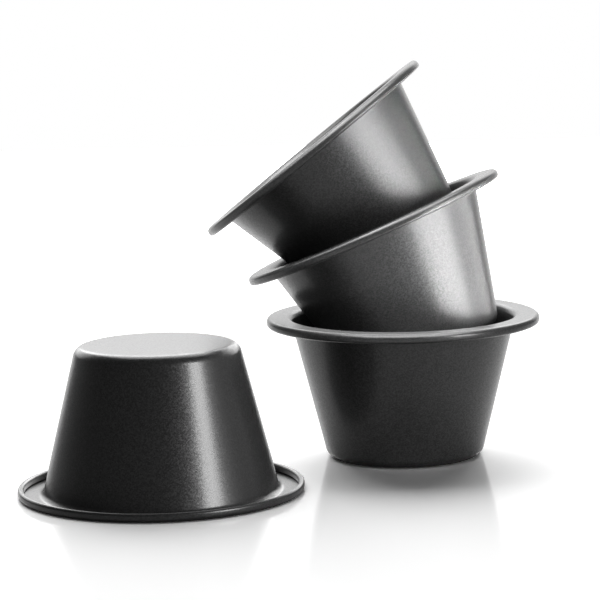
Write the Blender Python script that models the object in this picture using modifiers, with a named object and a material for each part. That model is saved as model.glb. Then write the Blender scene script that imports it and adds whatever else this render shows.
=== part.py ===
"""Four identical flan moulds of pressed steel, standing together as a set.

Each mould is one piece of coated sheet: a flat base, a tapered wall, and a wide flat
lip whose edge is rolled down and under into a flattened hem, deeper than it is wide.
The bottom mould stands on its base, the middle and top ones lean in a stack inside it,
and the fourth is turned over on its lip beside them.

Metres, +Z up, the viewer looks along +Y. The origin is the middle of the bottom
mould's base, on the table.
"""

import math

import bpy
import numpy as np
from mathutils import Euler

# The section of one mould
SHEET = 0.0005
HEIGHT = 0.0496
BASE_DIAMETER = 0.0540
WALL_DRAFT = math.radians(14.0)
BASE_CORNER_RADIUS = 0.0037
LIP_BEND_RADIUS = 0.0025
LIP_FLAT_WIDTH = 0.0050
EDGE_BEND_RADIUS = 0.00125
EDGE_DEPTH = 0.0031
EDGE_WIDTH = 0.00195
EDGE_END_SPACE = 0.0005

# How a leaning mould stands in the one below, seen in the lower mould's frame. It leans
# to the left and tips away from the viewer. Its base is shifted to the right of the
# lower mould's axis and lifted above the lower mould's base.
MIDDLE_LEAN = math.radians(22.7)
MIDDLE_TIP = math.radians(3.8)
MIDDLE_SHIFT = 0.0090
MIDDLE_LIFT = 0.0353
TOP_LEAN = math.radians(15.4)
TOP_TIP = 0.0
TOP_SHIFT = 0.0047
TOP_LIFT = 0.0353
SEAT_GAP = 0.0003

# Where the upturned mould stands: a bearing from the bottom mould, counted from +X
# towards +Y, and the free space between their two lips seen from above.
UPTURNED_BEARING = math.radians(212.8)
UPTURNED_SPACE = 0.0038

# How finely the round forms are divided
TURN_STEPS = 48
BEND_STEPS = 3
HEM_STEPS = 5

COATING_COLOUR = (0.040, 0.040, 0.043, 1.0)
COATING_ROUGHNESS = 0.36
COATING_METALLIC = 0.65


def clear_scene():
    """Take every object out of the open file."""
    for old in list(bpy.data.objects):
        bpy.data.objects.remove(old, do_unlink=True)


def arc(centre, radius, start, turn, steps):
    """Points of an arc about a centre, from an angle through a turn."""
    angles = start + turn * np.linspace(0.0, 1.0, steps + 1)
    return centre + radius * np.column_stack([np.cos(angles), np.sin(angles)])


def rounded_corner(before, corner, after, radius):
    """Points of an arc that joins two straight runs, tangent to both.

    The arc starts and ends radius / tan(half the corner's angle) from the corner, and
    its centre is radius / sin(half the angle) from it, on the line that halves it.
    """
    towards_before = (before - corner) / np.linalg.norm(before - corner)
    towards_after = (after - corner) / np.linalg.norm(after - corner)
    half_angle = math.acos(float(towards_before @ towards_after)) / 2
    halving = towards_before + towards_after
    halving = halving / np.linalg.norm(halving)
    centre = corner + halving * radius / math.sin(half_angle)
    tangent_length = radius / math.tan(half_angle)
    first = corner + towards_before * tangent_length - centre
    last = corner + towards_after * tangent_length - centre
    start = math.atan2(first[1], first[0])
    turn = math.atan2(last[1], last[0]) - start
    turn = (turn + math.pi) % (2 * math.pi) - math.pi
    return arc(centre, radius, start, turn, BEND_STEPS)


def cup_line():
    """The middle of the sheet as (radius, height), from the flat lip's end to the axis."""
    half_sheet = SHEET / 2
    slope = math.tan(WALL_DRAFT)
    middle = np.array([0.0, half_sheet])
    wall_foot_radius = BASE_DIAMETER / 2 + slope * half_sheet - half_sheet / math.cos(WALL_DRAFT)
    foot = np.array([wall_foot_radius, half_sheet])
    rise = HEIGHT - SHEET
    shoulder = foot + [slope * rise, rise]
    outwards = shoulder + [LIP_FLAT_WIDTH, 0.0]
    lip_bend = rounded_corner(outwards, shoulder, foot, LIP_BEND_RADIUS)
    base_corner = rounded_corner(shoulder, foot, middle, BASE_CORNER_RADIUS - half_sheet)
    flat_end = lip_bend[0] + [LIP_FLAT_WIDTH, 0.0]
    return np.vstack([flat_end, lip_bend, base_corner, middle])


def rolled_edge(flat_end):
    """The hem from its free end, hidden under the lip, back to the flat lip's end.

    Seen from the lip, the sheet bends down, runs straight to the hem's foot, turns
    under by half a circle, and comes up again close behind itself. The free end keeps
    a small space to the underside of the lip.
    """
    quarter = math.pi / 2
    bend_centre = flat_end - [0.0, EDGE_BEND_RADIUS]
    outer_radius = flat_end[0] + EDGE_BEND_RADIUS
    hem_radius = (EDGE_WIDTH - SHEET) / 2
    hem_centre = np.array([outer_radius - hem_radius, HEIGHT - EDGE_DEPTH + EDGE_WIDTH / 2])
    free_end = np.array([outer_radius - 2 * hem_radius, HEIGHT - SHEET - EDGE_END_SPACE])
    hem = arc(hem_centre, hem_radius, -2 * quarter, 2 * quarter, HEM_STEPS)
    outer_bend = arc(bend_centre, EDGE_BEND_RADIUS, 0.0, quarter, BEND_STEPS)
    return np.vstack([free_end, hem, outer_bend])


def mould_section():
    """The middle of the whole sheet, from the hem's free end to the axis."""
    cup = cup_line()
    return np.vstack([rolled_edge(cup[0]), cup[1:]])


def lip_radius():
    """The outermost radius of the mould, over the hem."""
    return float(mould_section()[:, 0].max()) + SHEET / 2


def face_line(side):
    """The sheet's outside (side = 1) or inside (side = -1) as a line of (radius, height).

    At a vertex the offset is (n1 + n2) / (1 + n1.n2) half sheets, where n1 and n2 are
    the normals of the two runs that meet there, so each run keeps its full distance.
    The hem is left out, because no other mould touches it.
    """
    line = cup_line()
    run = np.diff(line, axis=0)
    run = run / np.linalg.norm(run, axis=1)[:, None]
    normal = np.column_stack([-run[:, 1], run[:, 0]])
    before = np.vstack([normal[:1], normal])
    after = np.vstack([normal, normal[-1:]])
    mitre = (before + after) / (1.0 + np.sum(before * after, axis=1))[:, None]
    return line + mitre * side * SHEET / 2


def face_points(line):
    """Points all over the back half of the surface that a line makes when it is turned."""
    length = np.concatenate([[0.0], np.cumsum(np.linalg.norm(np.diff(line, axis=0), axis=1))])
    even = np.linspace(0.0, length[-1], 160)
    radius = np.interp(even, length, line[:, 0])
    height = np.interp(even, length, line[:, 1])
    turn = np.linspace(0.0, math.pi, 120)[:, None]
    x = radius * np.cos(turn)
    y = radius * np.sin(turn)
    z = height + 0.0 * turn
    return np.column_stack([x.ravel(), y.ravel(), z.ravel()])


def least_space(points, line):
    """The least space between points and the inside of a mould, below nought if they cut it.

    Each point is turned into the half plane of the section. Its distance is measured to
    the nearest run of the line, and counts as space on the side that faces the axis.
    """
    here = np.column_stack([np.hypot(points[:, 0], points[:, 1]), points[:, 2]])
    run = np.diff(line, axis=0)
    offset = here[:, None] - line[None, :-1]
    along = np.clip(np.sum(offset * run, axis=2) / np.sum(run * run, axis=1), 0.0, 1.0)
    across = offset - along[..., None] * run
    distance = np.linalg.norm(across, axis=2)
    nearest = distance.argmin(axis=1)
    each = np.arange(len(here))
    inwards = np.column_stack([run[:, 1], -run[:, 0]])[nearest]
    side = np.sign(np.sum(across[each, nearest] * inwards, axis=1))
    return float((side * distance[each, nearest]).min())


def seat_depth(turn, shift, lift):
    """How far back a leaning mould goes until its wall rests on the wall behind it.

    The distance is halved down between the lower mould's axis, where the leaning one
    hangs clear, and the lip, where it would cut the wall.
    """
    own_face = face_points(face_line(1)) @ np.array(turn).T + [shift, 0.0, lift]
    wall_behind = face_line(-1)
    clear = 0.0
    cutting = lip_radius()
    while cutting - clear > SEAT_GAP / 100:
        depth = (clear + cutting) / 2
        if least_space(own_face + [0.0, depth, 0.0], wall_behind) > SEAT_GAP:
            clear = depth
        else:
            cutting = depth
    return clear


def coating(name):
    """Dark satin non-stick coating with a metallic cast."""
    material = bpy.data.materials.new(name)
    material.use_nodes = True
    shader = material.node_tree.nodes["Principled BSDF"]
    shader.inputs["Base Color"].default_value = COATING_COLOUR
    shader.inputs["Roughness"].default_value = COATING_ROUGHNESS
    shader.inputs["Metallic"].default_value = COATING_METALLIC
    return material


def make_mould(name, collection):
    """One mould, upright on its base at the origin: the section turned, then given its sheet."""
    section = mould_section()
    corners = [(radius, 0.0, height) for radius, height in section]
    runs = [(i, i + 1) for i in range(len(section) - 1)]
    mesh = bpy.data.meshes.new(name)
    mesh.from_pydata(corners, runs, [])
    mesh.materials.append(coating(name + "_coating"))
    mould = bpy.data.objects.new(name, mesh)
    collection.objects.link(mould)

    turned = mould.modifiers.new("Turn the section", 'SCREW')
    turned.axis = 'Z'
    turned.angle = 2 * math.pi
    turned.steps = TURN_STEPS
    turned.render_steps = TURN_STEPS
    turned.use_merge_vertices = True
    turned.merge_threshold = 0.00001
    turned.use_smooth_shade = True

    sheet = mould.modifiers.new("Sheet thickness", 'SOLIDIFY')
    sheet.thickness = SHEET
    sheet.offset = 0.0
    sheet.use_even_offset = True
    return mould


def lean_in(mould, lower, lean, tip, shift, lift):
    """Stand a mould in the one below it: leaned, tipped, and back against its wall."""
    mould.parent = lower
    mould.rotation_mode = 'ZYX'
    mould.rotation_euler = (-tip, -lean, 0.0)
    turn = Euler(mould.rotation_euler, mould.rotation_mode).to_matrix()
    mould.location = (shift, seat_depth(turn, shift, lift), lift)


def turn_over(mould):
    """Set a mould upside down on its lip, in front of the stack and to its left."""
    distance = 2 * lip_radius() + UPTURNED_SPACE
    x = distance * math.cos(UPTURNED_BEARING)
    y = distance * math.sin(UPTURNED_BEARING)
    mould.rotation_euler = (0.0, math.pi, 0.0)
    mould.location = (x, y, HEIGHT)


def build():
    """Make the four moulds and put each in its place."""
    clear_scene()
    collection = bpy.data.collections.new("Flan moulds")
    bpy.context.scene.collection.children.link(collection)

    bottom = make_mould("bottom_mould", collection)
    middle = make_mould("middle_mould", collection)
    top = make_mould("top_mould", collection)
    upturned = make_mould("upturned_mould", collection)

    lean_in(middle, bottom, MIDDLE_LEAN, MIDDLE_TIP, MIDDLE_SHIFT, MIDDLE_LIFT)
    lean_in(top, middle, TOP_LEAN, TOP_TIP, TOP_SHIFT, TOP_LIFT)
    turn_over(upturned)

    bpy.context.view_layer.update()
    print("Width over the lip:", round(2000 * lip_radius(), 2), "mm")
    for mould in (bottom, middle, top, upturned):
        print(mould.name, "base at", [round(1000 * v, 2) for v in mould.matrix_world.translation], "mm")


build()
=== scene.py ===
# %% [markdown]
# # A set of flan moulds in dark non-stick coating
#
# Four pressed-steel moulds of one size. One stands on its base, two lean in a stack
# inside it, and one is turned over on its lip. The frame below is the finished
# construction: it says where each mould is and how it moves. This script gives the
# moulds their fine surface, their coating, and the light and view of the picture.

# %% Load the frame
import math

import bpy
import numpy as np
from mathutils import Matrix, Vector


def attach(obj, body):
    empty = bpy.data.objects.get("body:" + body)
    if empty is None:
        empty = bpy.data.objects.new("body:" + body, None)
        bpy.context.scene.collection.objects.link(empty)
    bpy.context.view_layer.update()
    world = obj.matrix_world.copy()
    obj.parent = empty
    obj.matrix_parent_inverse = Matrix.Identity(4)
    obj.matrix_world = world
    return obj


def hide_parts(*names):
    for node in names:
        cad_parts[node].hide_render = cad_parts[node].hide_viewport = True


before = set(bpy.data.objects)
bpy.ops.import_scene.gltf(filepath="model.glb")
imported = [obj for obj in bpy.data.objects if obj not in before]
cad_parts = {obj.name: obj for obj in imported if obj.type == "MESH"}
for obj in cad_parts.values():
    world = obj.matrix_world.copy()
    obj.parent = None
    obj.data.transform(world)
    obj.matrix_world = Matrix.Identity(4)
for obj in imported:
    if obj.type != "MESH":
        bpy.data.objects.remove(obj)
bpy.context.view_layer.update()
MILLIMETRES = 1000
MOULDS = sorted(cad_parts)
print("moulds in the frame:", MOULDS)

# %% [markdown]
# ## Where each mould stands
#
# A mould is round, so its place is known from its axis and the middle of its base.
# Both can be read from the frame's own solid: the corners of a round thing spread
# equally in the two directions across its axis, and differently along it. The axis is
# the odd one of the three principal directions. It points from the narrow base to the
# wide lip. Reading it here keeps the fine mould exactly where the solid is.

# %% Read a mould's axis and base from its solid
SAME_CORNER_DIGITS = 7


def mould_place(node):
    """Return the middle of the base, and the turn from an upright mould to this one.

    Corners that agree to a tenth of a micrometre count once. The axis is a principal
    direction of their spread, and the base is where the corners begin along it.
    """
    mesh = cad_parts[node].data
    corners = np.empty(len(mesh.vertices) * 3)
    mesh.vertices.foreach_get("co", corners)
    corners = np.unique(np.round(corners.reshape(-1, 3), SAME_CORNER_DIGITS), axis=0)
    middle = corners.mean(axis=0)
    spread, directions = np.linalg.eigh(np.cov((corners - middle).T))
    odd = 0 if spread[1] - spread[0] > spread[2] - spread[1] else 2
    axis = directions[:, odd]
    along = (corners - middle) @ axis
    across = np.linalg.norm(corners - middle - along[:, None] * axis, axis=1)
    if np.corrcoef(along, across)[0, 1] < 0:
        axis = -axis
        along = -along
    base = middle + axis * along.min()
    side = np.array([1.0, 0.0, 0.0]) - axis * axis[0]
    side = side / np.linalg.norm(side)
    return base, np.column_stack([side, np.cross(axis, side), axis])


places = {node: mould_place(node) for node in MOULDS}
for node, (base, turn) in places.items():
    lean = math.degrees(math.acos(np.clip(turn[2, 2], -1.0, 1.0)))
    print(node, "base at", np.round(base * MILLIMETRES, 2), "mm, leaning", round(lean, 2), "degrees")

# %% [markdown]
# ## The section of a mould
#
# The real mould is one disc of thin sheet, drawn into a cup. Its wall bends out into a
# flat lip, and the edge is rolled down and under into a hem, deeper than it is wide.
# Cut through, that is a line made of straight runs and round bends, all tangent to
# each other. The middle of the sheet is drawn first, each point with the direction
# square to it. Half a sheet to either side of it then gives the two faces. A round cap
# over the free edge joins them, so the mould is one closed skin, as thick as the sheet.

# %% Sizes of the sheet and the section, in metres
SHEET = 0.0005
HEIGHT = 0.0496
BASE_DIAMETER = 0.0540
WALL_DRAFT = math.radians(14.0)
BASE_CORNER_RADIUS = 0.0037
LIP_BEND_RADIUS = 0.0025
LIP_FLAT_WIDTH = 0.0050
EDGE_BEND_RADIUS = 0.00125
EDGE_DEPTH = 0.0031
EDGE_WIDTH = 0.00195
EDGE_END_SPACE = 0.0005

# How many points each run and bend gets, enough for smooth highlights
BASE_STEPS = 12
WALL_STEPS = 26
LIP_STEPS = 6
OUTER_LEG_STEPS = 3
INNER_LEG_STEPS = 4
BEND_STEPS = 14
EDGE_BEND_STEPS = 12
HEM_STEPS = 18
FREE_EDGE_STEPS = 7


# %% Straight runs and round bends of the middle line
def straight(start, end, steps):
    """Even points from start to end, each with the direction to the right of the run."""
    points = start + (end - start) * np.linspace(0.0, 1.0, steps)[:, None]
    run = (end - start) / np.linalg.norm(end - start)
    return points, np.broadcast_to([run[1], -run[0]], points.shape)


def bend(centre, radius, start_angle, turn, steps):
    """An arc about centre, each point with the direction to the right of the travel.

    The points are centre + radius * (cos a, sin a), where a goes evenly from the start
    angle through the turn. Right of the travel is outwards on a turn to the left.
    """
    angle = start_angle + turn * np.linspace(0.0, 1.0, steps)
    outwards = np.column_stack([np.cos(angle), np.sin(angle)])
    return centre + radius * outwards, outwards * math.copysign(1.0, turn)


def middle_line():
    """The middle of the sheet from the axis to the hem's free edge, as points and normals.

    Seen with the axis at the left and the base below: a level base, a bend up to the
    wall, the wall leaning out by its draft, a bend back to level, the flat lip, a bend
    down, the hem's outer leg, half a circle under, and its inner leg back up towards
    the lip. The normals point to the outside of the cup.
    """
    half = SHEET / 2
    slope = math.tan(WALL_DRAFT)
    turn = math.pi / 2 - WALL_DRAFT
    reach = math.tan(turn / 2)
    foot = np.array([BASE_DIAMETER / 2 + slope * half - half / math.cos(WALL_DRAFT), half])
    shoulder = foot + np.array([slope, 1.0]) * (HEIGHT - SHEET)
    corner_radius = BASE_CORNER_RADIUS - half
    corner = foot + np.array([-reach * corner_radius, corner_radius])
    lip_bend = shoulder + np.array([reach * LIP_BEND_RADIUS, -LIP_BEND_RADIUS])
    flat_end = lip_bend + np.array([LIP_FLAT_WIDTH, LIP_BEND_RADIUS])
    hem_radius = EDGE_WIDTH / 2 - half
    hem_height = HEIGHT - EDGE_DEPTH + half + hem_radius
    hem_centre = np.array([flat_end[0] + EDGE_BEND_RADIUS - hem_radius, hem_height])
    free_end = np.array([hem_centre[0] - hem_radius, HEIGHT - SHEET - EDGE_END_SPACE])
    up = math.pi / 2
    lower = bend(corner, corner_radius, -up, turn, BEND_STEPS)
    upper = bend(lip_bend, LIP_BEND_RADIUS, up + turn, -turn, BEND_STEPS)
    edge_bend = flat_end - np.array([0.0, EDGE_BEND_RADIUS])
    over = bend(edge_bend, EDGE_BEND_RADIUS, up, -up, EDGE_BEND_STEPS)
    under = bend(hem_centre, hem_radius, 0.0, -2 * up, HEM_STEPS)
    base = straight(np.array([0.0, half]), lower[0][0], BASE_STEPS)
    wall = straight(lower[0][-1], upper[0][0], WALL_STEPS)
    lip = straight(upper[0][-1], flat_end, LIP_STEPS)
    outer_leg = straight(over[0][-1], under[0][0], OUTER_LEG_STEPS)
    inner_leg = straight(under[0][-1], free_end, INNER_LEG_STEPS)
    pieces = (base, lower, wall, upper, lip, over, outer_leg, under, inner_leg)
    points = np.vstack([pieces[0][0]] + [piece[0][1:] for piece in pieces[1:]])
    normals = np.vstack([pieces[0][1]] + [piece[1][1:] for piece in pieces[1:]])
    return points, normals


def skin_line():
    """The closed outline of the sheet: outside face, round free edge, inside face.

    Each face is the middle line moved by half a sheet along its normals. The free edge
    is half a circle from one face to the other.
    """
    points, normals = middle_line()
    outside = points + normals * SHEET / 2
    inside = points - normals * SHEET / 2
    start = math.atan2(normals[-1, 1], normals[-1, 0])
    edge, _ = bend(points[-1], SHEET / 2, start, math.pi, FREE_EDGE_STEPS)
    return np.vstack([outside, edge[1:-1], inside[::-1]])


outline = skin_line()
lip_radius, height = outline.max(axis=0) * MILLIMETRES
print("outline of", len(outline), "points, lip", round(2 * lip_radius, 2), "mm wide,",
      round(height, 2), "mm high")

# %% [markdown]
# ## Turning the section into a mould
#
# A turned thing is a grid: one direction runs along the outline, the other round the
# axis. Each point is (radius * cos a, radius * sin a, height). The first and last
# points of the outline lie on the axis, so each of those two rows is one point, a
# pole, closed with triangles. The columns wrap round, so no seam stays open. The mesh
# is finished in place: the mould's turn and base go into its points, and the object
# itself stays at the origin.

# %% Make the four moulds
AROUND = 224


def turned_skin(line, columns):
    """Points and faces of a closed outline turned about the axis, poles and seam closed.

    Ring r and column c give point r * columns + c. A face joins it to the next column
    and the next ring. The two poles come last, each with a fan of triangles.
    """
    rings = line[1:-1]
    angle = np.linspace(0.0, 2 * math.pi, columns, endpoint=False)
    x = rings[:, 0, None] * np.cos(angle)
    y = rings[:, 0, None] * np.sin(angle)
    z = np.broadcast_to(rings[:, 1, None], x.shape)
    points = np.stack([x, y, z], axis=-1).reshape(-1, 3)
    poles = np.array([[0.0, 0.0, line[0, 1]], [0.0, 0.0, line[-1, 1]]])
    here = np.arange(columns)
    after = (here + 1) % columns
    row = np.arange(len(rings) - 1)[:, None] * columns
    quads = np.stack([row + here, row + after, row + columns + after, row + columns + here], axis=-1)
    first = len(points)
    last_ring = (len(rings) - 1) * columns
    below = np.stack([np.full(columns, first), after, here], axis=-1)
    above = np.stack([np.full(columns, first + 1), last_ring + here, last_ring + after], axis=-1)
    faces = quads.reshape(-1, 4).tolist() + below.tolist() + above.tolist()
    return np.vstack([points, poles]), faces


def make_mould(name, node):
    """One fine mould in the place of its solid, riding on the same body."""
    base, turn = places[node]
    points, faces = turned_skin(outline, AROUND)
    mesh = bpy.data.meshes.new(name)
    mesh.from_pydata((points @ turn.T + base).tolist(), [], faces)
    mesh.shade_smooth()
    mesh.update()
    mould = bpy.data.objects.new(name, mesh)
    bpy.context.scene.collection.objects.link(mould)
    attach(mould, node)
    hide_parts(node)
    return mould


moulds = {node: make_mould(node + "_shell", node) for node in MOULDS}
for node, mould in moulds.items():
    print(mould.name, "has", len(mould.data.polygons), "faces")

# %% [markdown]
# ## The coating
#
# The coating is baked-on non-stick: a nearly black layer with very fine metallic
# flakes, under a clear satin top. It has two kinds of gloss. The top gives the narrow
# core of each highlight, and the flakes, which lie at many small angles, give the wide
# grainy skirt around it. One Principled shader holds both: its metal base is the
# flakes, and its coat is the top. Voronoi cells give each patch of flakes its own
# angle and its own brightness. The top is nearly level, with a very shallow noise, as
# on sprayed coatings, and follows the cells a little.

# %% Words for making shaders
WHITE = (1.0, 1.0, 1.0, 1.0)

# Sockets of a Mix node, which holds those for values and for colours side by side
MIX_SHARE = 0
MIX_VALUES = (2, 3)
MIX_COLOURS = (6, 7)
MIX_COLOUR_RESULT = 2


class Nodes:
    """Short words for adding nodes to a material or world and joining them."""

    def __init__(self, tree):
        self.tree = tree

    def add(self, kind, inputs=(), **settings):
        """A new node of a kind, with its settings, and its inputs by name or number."""
        node = self.tree.nodes.new(kind)
        for key, value in settings.items():
            setattr(node, key, value)
        for key, value in dict(inputs).items():
            self.put(node.inputs[key], value)
        return node

    def put(self, socket, value):
        """A link from an output into the socket, or a plain value on it."""
        if isinstance(value, bpy.types.NodeSocket):
            self.tree.links.new(value, socket)
        else:
            socket.default_value = value

    def math(self, operation, *values):
        """The output of a Math node."""
        node = self.add("ShaderNodeMath", enumerate(values), operation=operation)
        return node.outputs[0]

    def vector(self, operation, *values):
        """The vector that comes out of a Vector Math node."""
        return self.add("ShaderNodeVectorMath", enumerate(values), operation=operation).outputs[0]

    def mix(self, share, first, second):
        """first * (1 - share) + second * share, for plain values."""
        inputs = dict(zip((MIX_SHARE, *MIX_VALUES), (share, first, second)))
        return self.add("ShaderNodeMix", inputs).outputs[0]

    def mix_colours(self, share, first, second):
        """first * (1 - share) + second * share, for colours."""
        inputs = dict(zip((MIX_SHARE, *MIX_COLOURS), (share, first, second)))
        return self.add("ShaderNodeMix", inputs, data_type='RGBA').outputs[MIX_COLOUR_RESULT]

    def ramp(self, value, start, end, low, high):
        """A smooth step of value: low up to start, high from end on."""
        node = self.add("ShaderNodeMapRange", interpolation_type='SMOOTHSTEP')
        for socket, number in zip(node.inputs, (value, start, end, low, high)):
            self.put(socket, number)
        return node.outputs[0]


# %% Make the coating
DULL_FLAKE = (0.019, 0.019, 0.0192, 1.0)
BRIGHT_FLAKE = (0.035, 0.035, 0.0353, 1.0)
FLAKE_METALLIC = 0.60
FLAKE_EDGE_GLOSS = 0.15
FLAKE_ROUGHNESS = 0.42
FLAKE_PATCHES_PER_METRE = 2700.0
FLAKE_TILT = 0.10
TOP_ROUGHNESS = 0.24
TOP_TILT = 0.02
TOP_IOR = 1.36
PEEL_PER_METRE = 420.0
PEEL_DETAIL = 2.0
PEEL_DEPTH = 0.0000025
CELL_VECTOR_MIDDLE = (0.5, 0.5, 0.5)


def tilted(nodes, vector, tilt, normal):
    """The direction of normal + tilt * vector."""
    lean = nodes.add("ShaderNodeVectorMath", {0: vector, "Scale": tilt}, operation='SCALE')
    return nodes.vector('NORMALIZE', nodes.vector('ADD', lean.outputs[0], normal))


def make_coating():
    """Satin non-stick coating over fine metallic flakes, on Object coordinates.

    The base normal is the surface's normal plus a random vector for each cell, of up to
    half the flake tilt along each axis. The base colour is mixed from the dull and the
    bright one by a random number for each cell. The top's normal follows a shallow noise,
    and leans with the cells by a much smaller tilt.
    """
    material = bpy.data.materials.new("satin_nonstick_coating")
    material.use_nodes = True
    nodes = Nodes(material.node_tree)
    shader = material.node_tree.nodes["Principled BSDF"]
    place = nodes.add("ShaderNodeTexCoord").outputs["Object"]
    surface = nodes.add("ShaderNodeNewGeometry").outputs["Normal"]

    cells = nodes.add("ShaderNodeTexVoronoi", {"Vector": place, "Scale": FLAKE_PATCHES_PER_METRE})
    centred = nodes.vector('SUBTRACT', cells.outputs["Color"], CELL_VECTOR_MIDDLE)
    chance = nodes.add("ShaderNodeSeparateXYZ", {0: cells.outputs["Color"]}).outputs[0]
    colour = nodes.mix_colours(chance, DULL_FLAKE, BRIGHT_FLAKE)
    peel = nodes.add("ShaderNodeTexNoise",
                     {"Vector": place, "Scale": PEEL_PER_METRE, "Detail": PEEL_DETAIL})
    wavy = nodes.add("ShaderNodeBump", {"Height": peel.outputs[0], "Distance": PEEL_DEPTH})
    flake = tilted(nodes, centred, FLAKE_TILT, surface)
    top = tilted(nodes, centred, TOP_TILT, wavy.outputs[0])

    for name, value in {
        "Base Color": colour, "Metallic": FLAKE_METALLIC, "Roughness": FLAKE_ROUGHNESS,
        "Specular IOR Level": FLAKE_EDGE_GLOSS, "Normal": flake, "Coat Weight": 1.0,
        "Coat Roughness": TOP_ROUGHNESS, "Coat IOR": TOP_IOR, "Coat Normal": top,
    }.items():
        nodes.put(shader.inputs[name], value)
    return material


coating = make_coating()
for mould in moulds.values():
    mould.data.materials.append(coating)
print("coating on", len(moulds), "moulds")

# %% [markdown]
# ## The table
#
# The moulds stand on polished white acrylic, which mirrors them softly and keeps their
# shadow. It is stage, not part of the object. For the camera its white is exposed well
# past full, as in the picture, so that only the shadow and the mirror image show. The
# moulds mirror it as plain white. Away from them its light ends, so what the camera
# sees of it grows whiter with the distance, until the white background goes on from it.

# %% Make the table
TABLE_HALF_WIDTH = 1.3
TABLE_WHITE = 0.85
TABLE_SEEN_WHITE = 1.85
TABLE_FAR_WHITE = 7.0
TABLE_FAR_FROM_TO = (0.25, 1.3)
TABLE_MIRRORED_WHITE = 0.95
TABLE_ROUGHNESS = 0.10
TABLE_IOR = 1.5


def make_table():
    """A large square of glossy white at the height of the bottom mould's base.

    What the camera sees of its white is a smooth step of the distance from the origin.
    Its gloss is mixed in by the angle of view.
    """
    half = TABLE_HALF_WIDTH
    corners = [(-half, -half, 0.0), (half, -half, 0.0), (half, half, 0.0), (-half, half, 0.0)]
    mesh = bpy.data.meshes.new("table")
    mesh.from_pydata(corners, [], [(0, 1, 2, 3)])
    table = bpy.data.objects.new("table", mesh)
    bpy.context.scene.collection.objects.link(table)
    material = bpy.data.materials.new("white_acrylic")
    material.use_nodes = True
    nodes = Nodes(material.node_tree)
    tree_nodes = material.node_tree.nodes
    tree_nodes.remove(tree_nodes["Principled BSDF"])
    path = nodes.add("ShaderNodeLightPath").outputs
    seen = nodes.math('MAXIMUM', path["Is Camera Ray"], path["Is Transmission Ray"])
    place = nodes.add("ShaderNodeTexCoord").outputs["Object"]
    distance = nodes.add("ShaderNodeVectorMath", {0: place}, operation='LENGTH').outputs["Value"]
    seen_white = nodes.ramp(distance, *TABLE_FAR_FROM_TO, TABLE_SEEN_WHITE, TABLE_FAR_WHITE)
    white = nodes.mix(seen, TABLE_WHITE, seen_white)
    white = nodes.mix(path["Is Glossy Ray"], white, TABLE_MIRRORED_WHITE)
    body = nodes.add("ShaderNodeBsdfDiffuse", {"Color": white})
    gloss = nodes.add("ShaderNodeBsdfGlossy", {"Color": WHITE, "Roughness": TABLE_ROUGHNESS})
    angle = nodes.add("ShaderNodeFresnel", {"IOR": TABLE_IOR})
    both = nodes.add("ShaderNodeMixShader", {0: angle.outputs[0], 1: body.outputs[0],
                                             2: gloss.outputs[0]})
    nodes.put(tree_nodes["Material Output"].inputs["Surface"], both.outputs[0])
    mesh.materials.append(material)
    return table


table = make_table()
print(table.name, "of", 2 * TABLE_HALF_WIDTH, "m square")

# %% [markdown]
# ## The light
#
# Dark satin shows its surroundings more than its own colour, so the studio is drawn
# by what the moulds mirror. Behind them is a white backdrop, which brightens their
# rims and edges. In front and to the left it is dark.

# %% Set the world
SEEN_LIGHT = 1.0
ROOM_LIGHT = 0.10
BACKDROP_LIGHT = 1.0
BACKDROP_NARROWING = 1.2
BACKDROP_FADE = (0.02, 0.45)


def make_world():
    """White for the camera and through glass, and for all else a dim room with a backdrop.

    The backdrop is a smooth step of Y minus the size of X times its narrowing, which is a
    sector of 40 degrees to either side of straight behind, fading towards its edges and
    the zenith.
    """
    world = bpy.data.worlds.new("studio")
    bpy.context.scene.world = world
    world.use_nodes = True
    nodes = Nodes(world.node_tree)
    place = nodes.add("ShaderNodeTexCoord").outputs["Generated"]
    x, y = nodes.add("ShaderNodeSeparateXYZ", {0: place}).outputs[:2]
    aside = nodes.math('MULTIPLY', nodes.math('ABSOLUTE', x), BACKDROP_NARROWING)
    sector = nodes.math('SUBTRACT', y, aside)
    studio = nodes.ramp(sector, *BACKDROP_FADE, ROOM_LIGHT, BACKDROP_LIGHT)
    path = nodes.add("ShaderNodeLightPath").outputs
    seen = nodes.math('MAXIMUM', path["Is Camera Ray"], path["Is Transmission Ray"])
    background = world.node_tree.nodes["Background"]
    nodes.put(background.inputs["Color"], WHITE)
    nodes.put(background.inputs["Strength"], nodes.mix(seen, studio, SEEN_LIGHT))
    return world


world = make_world()
print("world:", world.name, "with light from", ROOM_LIGHT, "to", BACKDROP_LIGHT)

# %% [markdown]
# ## The softboxes
#
# In the picture the moulds don't shade or mirror each other, and their highlights
# differ, as if each had been lit by itself. So each softbox here is kept to the things
# that it lights, and some pass a neighbour that would stand in their way.
#
# The main light stands above and behind, as one box for the table and one for each way
# that a mould stands. It whitens the table, grazes the flat lips, and throws the soft
# shadow forwards. The moulds that lean get little of it, because their rims would turn
# it into a hard white line. Two low boxes behind the upturned mould brighten the corner
# of its base. One overhead draws the soft line along each rim of the stack, and one at
# the upper left adds to it on the moulds that lean. Upright ones to the right make the
# tall highlight on each wall: narrow on the moulds that stand upright, wide and fading
# to the right on those that lean. Dim panels in front and at the right keep the walls
# from going black.

# %% Words for setting softboxes
LAMP_DISTANCE = 1.2


def members(name, things):
    """A collection of things, by which a lamp can be kept to them."""
    group = bpy.data.collections.new(name)
    for thing in things:
        group.objects.link(thing)
    return group


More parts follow.
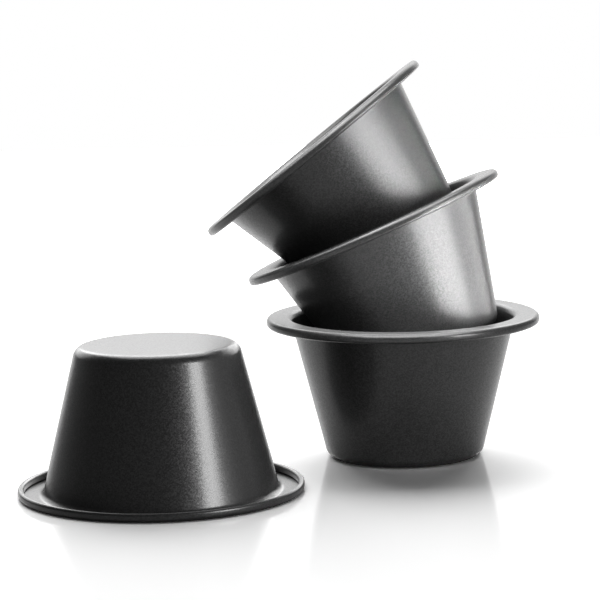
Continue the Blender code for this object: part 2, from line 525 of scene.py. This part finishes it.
def softbox(name, bearings, elevations, radiance, lit, shaded_by=None):
    """A rectangle of light that faces the origin and fills two spans of angles, in degrees.

    Bearings are counted from the viewer's side towards the right. A span of 2 a seen from
    the origin is 2 * distance * tan a wide. The power is radiance * pi * area, which
    makes the face that bright. lit are the things that the lamp lights, and shaded_by
    the only ones that stand in its way. A lamp that is kept so and reaches below the
    table's level is found by rays towards it alone, because a ray from the coating
    would end at the table.
    """
    bearing, elevation = np.radians([np.mean(bearings), np.mean(elevations)])
    half_width, half_height = np.radians([np.ptp(bearings) / 2, np.ptp(elevations) / 2])
    light = bpy.data.lights.new(name, 'AREA')
    light.shape = 'RECTANGLE'
    light.size = 2 * LAMP_DISTANCE * math.tan(half_width)
    light.size_y = 2 * LAMP_DISTANCE * math.tan(half_height)
    light.energy = radiance * math.pi * light.size * light.size_y
    lamp = bpy.data.objects.new(name, light)
    bpy.context.scene.collection.objects.link(lamp)
    level = math.cos(elevation)
    aim = Vector((level * math.sin(bearing), -level * math.cos(bearing), math.sin(elevation)))
    turn = aim.to_track_quat('Z', 'Y').to_matrix().to_4x4()
    lamp.matrix_world = Matrix.Translation(LAMP_DISTANCE * aim) @ turn
    lamp.light_linking.receiver_collection = members(name + "_lights", lit)
    if shaded_by is not None:
        lamp.light_linking.blocker_collection = members(name + "_shaded_by", shaded_by)
        light.cycles.use_multiple_importance_sampling = min(elevations) > 0


def wide_highlight(name, steps, elevations, mould):
    """Boxes over one another on one mould, so that its highlight fades in steps.

    Each step is a left bearing, a right bearing and a radiance. The rough top smooths
    the steps away.
    """
    for left_edge, right_edge, radiance in steps:
        softbox(name + "_to_" + str(right_edge), (left_edge, right_edge), elevations,
                radiance, [mould], everything)


bottom, middle, top, upturned = (moulds[node] for node in
                                 ("bottom_mould", "middle_mould", "top_mould", "upturned_mould"))
everything = [bottom, middle, top, upturned]

# %% Light from behind and from above
# Spans of bearings and of elevations, in degrees
BEHIND = (155, 205)
WIDE_BEHIND = (152, 214)
RAISED = (20, 80)
OVER = (45, 105)
TO_THE_LEFT = (-120, -60)
LOW = (10, 36)

softbox("table_softbox", WIDE_BEHIND, RAISED, 2.9, lit=[table], shaded_by=[bottom, upturned])
softbox("bottom_back_softbox", BEHIND, RAISED, 2.4, lit=[bottom], shaded_by=[bottom, upturned])
softbox("leaning_back_softbox", BEHIND, RAISED, 0.7, lit=[middle, top], shaded_by=everything)
softbox("upturned_back_softbox", BEHIND, RAISED, 3.0, lit=[upturned], shaded_by=everything)
softbox("overhead_softbox", (-30, 30), OVER, 9.5, lit=[bottom, middle, top], shaded_by=everything)
softbox("upper_left_softbox", TO_THE_LEFT, (35, 80), 5.0, lit=[middle, top], shaded_by=everything)
softbox("right_corner_softbox", (135, 176), LOW, 2.8, lit=[upturned], shaded_by=[upturned])
softbox("left_corner_softbox", (199, 235), LOW, 1.5, lit=[upturned], shaded_by=[upturned])

# %% Highlights and dim panels on the walls
UPRIGHT = (0, 28)

# Left bearing, right bearing and radiance of each step of a wide highlight
MIDDLE_FADE = ((43, 130, 4.0), (46, 87, 11.5), (52, 75, 1.7))
TOP_FADE = ((43, 130, 2.5), (43, 92, 7.4), (50, 76, 4.6))

softbox("upturned_softbox", (41, 59), UPRIGHT, 19.5, lit=[upturned])
softbox("upturned_right_panel", (60, 115), (0, 50), 0.35, lit=[upturned])
softbox("bottom_softbox", (39, 57), UPRIGHT, 17.0, lit=[bottom])
softbox("bottom_front_panel", (-40, 39), (-30, 20), 0.36, lit=[bottom], shaded_by=everything)
softbox("middle_front_panel", (-50, 43), (-45, 0), 0.6, lit=[middle], shaded_by=[middle, top])
wide_highlight("middle_softbox", MIDDLE_FADE, (-34, 24), middle)
wide_highlight("top_softbox", TOP_FADE, (-14, 26), top)

# %% [markdown]
# ## The camera
#
# The picture is taken with a long lens from just above the moulds. The view was
# found by laying this model's outlines over the picture's. Its focal length is known in
# pixels, and is turned into millimetres by the width of the sensor.

# %% Set the camera
IMAGE_WIDTH = 600
FOCAL_PIXELS = 2663.5
CAMERA_PLACE = (-0.0357, -0.9193, 0.1869)
CAMERA_PITCH = 0.1421
CAMERA_ROLL = -0.0235
SENSOR_WIDTH = 36.0


def make_camera():
    """Look along +Y, tipped down by the pitch, turned about the view by the roll."""
    lens = bpy.data.cameras.new("camera")
    lens.sensor_width = SENSOR_WIDTH
    lens.lens = FOCAL_PIXELS / IMAGE_WIDTH * SENSOR_WIDTH
    camera = bpy.data.objects.new("camera", lens)
    bpy.context.scene.collection.objects.link(camera)
    camera.matrix_world = (Matrix.Translation(CAMERA_PLACE)
                           @ Matrix.Rotation(math.pi / 2 - CAMERA_PITCH, 4, 'X')
                           @ Matrix.Rotation(CAMERA_ROLL, 4, 'Z'))
    bpy.context.scene.camera = camera
    return camera


camera = make_camera()
bpy.context.scene.view_settings.view_transform = 'Standard'
print("camera at", CAMERA_PLACE, "m, focal length", round(camera.data.lens, 1), "mm")
